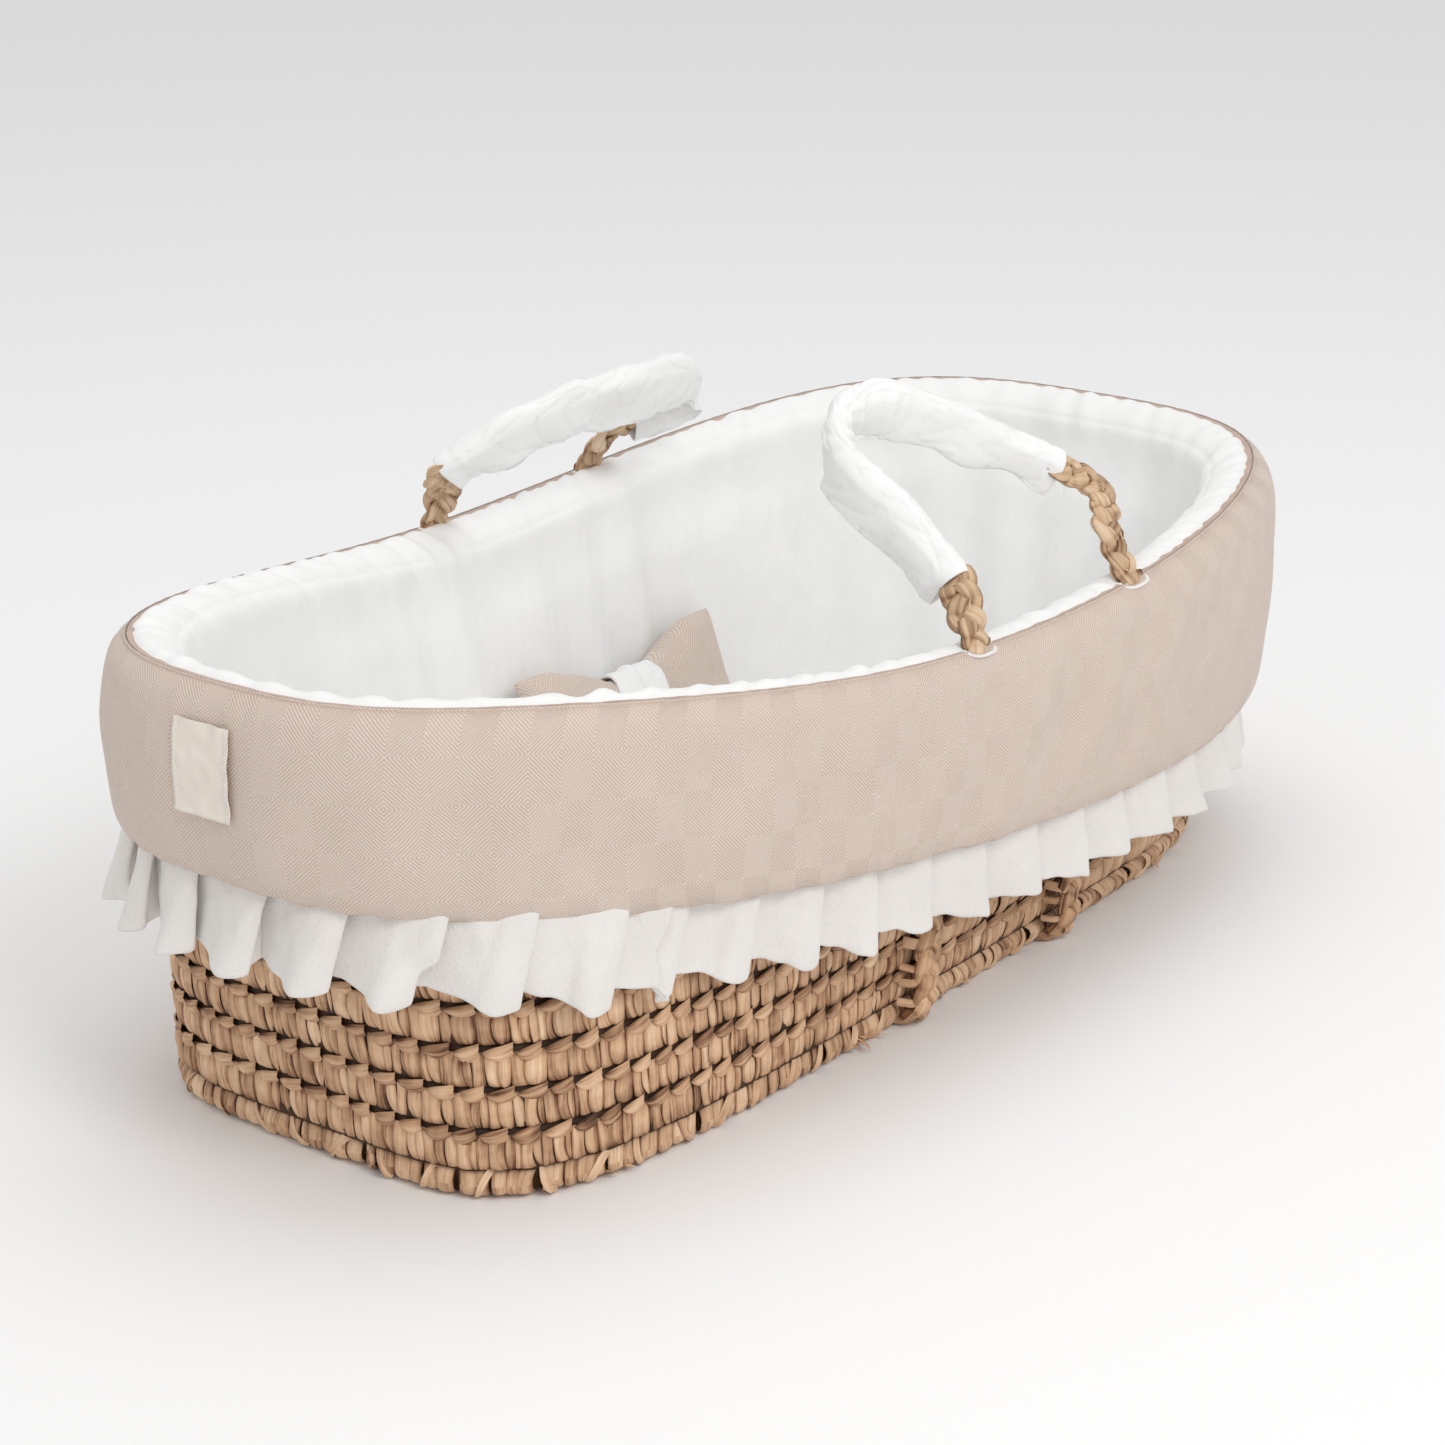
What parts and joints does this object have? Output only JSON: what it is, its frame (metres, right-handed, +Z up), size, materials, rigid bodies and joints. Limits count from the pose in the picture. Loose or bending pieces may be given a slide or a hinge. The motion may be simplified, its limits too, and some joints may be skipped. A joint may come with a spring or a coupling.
{
  "type": "bassinet",
  "caption": "Woven palm carrying bassinet with a padded blush cover, white pleated frill, two braided handles in padded sleeves, a mattress and a bow cushion",
  "frame": {"origin": "on the floor, under the middle of the basket's overall box", "axes": "+X to the basket's head end, +Y to its far side, +Z up; the foot end with the label faces -X"},
  "size_m": [0.8902, 0.4574, 0.3782],
  "materials": {
    "palm_weave": "dry palm leaf, matt with a faint sheen",
    "palm_strap": "flat braid of dry palm leaf",
    "palm_rope": "three-strand plait of pale palm leaf",
    "blush_cotton": "blush cotton twill with a tone-on-tone diamond pattern",
    "white_cotton": "soft white cotton with fine creases",
    "frill_cotton": "thick brushed white cotton",
    "wadding": "polyester wadding",
    "elastic": "narrow woven elastic",
    "label_cotton": "blank cream label",
    "mattress_foam": "soft foam"
  },
  "bodies": {
    "basket": {"basket_floor": "palm_weave", "base_coil": "palm_weave", "basket_wall": "palm_weave", "rim_coil": "palm_weave", "strap_foot": "palm_strap", "strap_head": "palm_strap", "strap_ties": "palm_weave", "cover_band": "blush_cotton", "cover_wadding": "wadding", "liner_wall": "white_cotton", "liner_floor": "white_cotton", "frill": "frill_cotton", "hem_elastic": "elastic", "buttonholes": "white_cotton", "label_patch": "label_cotton"},
    "handle_near": {"handle_rope_near": "palm_rope", "handle_sleeve_near": "white_cotton"},
    "handle_far": {"handle_rope_far": "palm_rope", "handle_sleeve_far": "white_cotton"},
    "mattress": {"mattress_core": "mattress_foam", "mattress_cover": "white_cotton"},
    "bow": {"bow_cushion": "blush_cotton", "bow_band": "white_cotton"}
  },
  "joints": [
    {"name": "handle_near_hinge", "type": "hinge", "parent": "basket", "child": "handle_near", "pos_m": [0.04, -0.20858, 0.25603], "axis": [1, 0, 0], "range_deg": [-25, 145]},
    {"name": "handle_far_hinge", "type": "hinge", "parent": "basket", "child": "handle_far", "pos_m": [0.04, 0.20858, 0.25603], "axis": [-1, 0, 0], "range_deg": [-25, 145]},
    {"name": "mattress_lift", "type": "slide", "parent": "basket", "child": "mattress", "axis": [0, 0, 1], "range_m": [0, 0.06]},
    {"name": "bow_lift", "type": "slide", "parent": "mattress", "child": "bow", "axis": [0, 0, 1], "range_m": [0, 0.05]}
  ]
}
